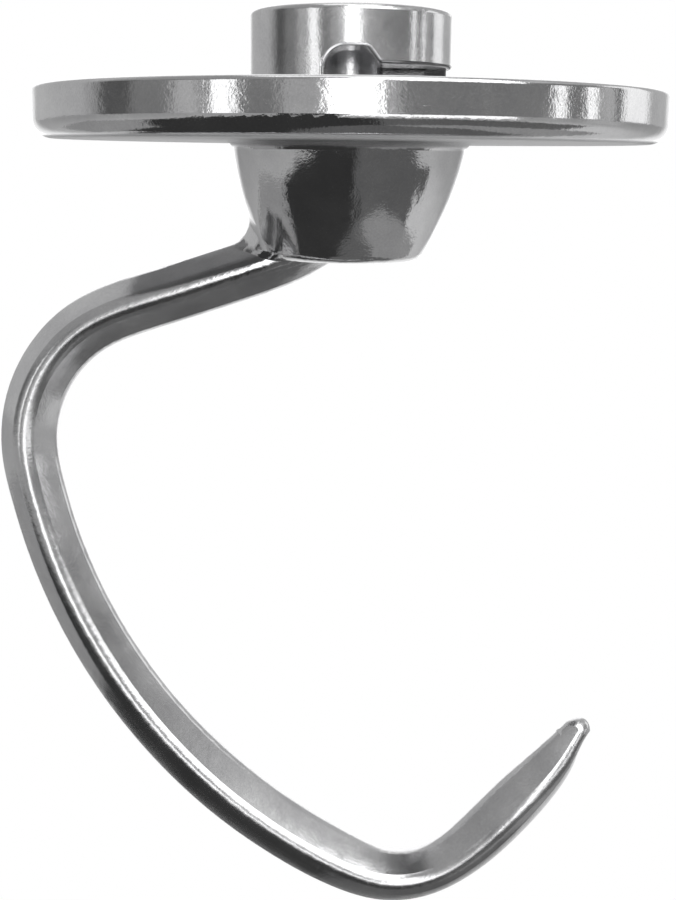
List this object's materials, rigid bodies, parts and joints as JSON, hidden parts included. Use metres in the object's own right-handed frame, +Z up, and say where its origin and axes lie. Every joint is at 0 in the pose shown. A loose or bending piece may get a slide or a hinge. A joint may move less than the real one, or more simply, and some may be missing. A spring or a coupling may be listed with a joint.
{
  "type": "dough hook",
  "caption": "Curved ridged dough hook for a stand mixer, with a round guard dish and a drive collar that takes a pinned shaft.",
  "frame": {"origin": "on the axis of the drive bore, level with the underside of the guard dish", "axes": "+Z up along the bore axis, out of the collar's mouth; -Y towards the pictured side; the arm bows out to -X"},
  "size_m": [0.1094, 0.102, 0.1506],
  "materials": {
    "metal": "burnished to a bright shine"
  },
  "bodies": {
    "root": {"dough_hook": "metal"}
  },
  "joints": []
}
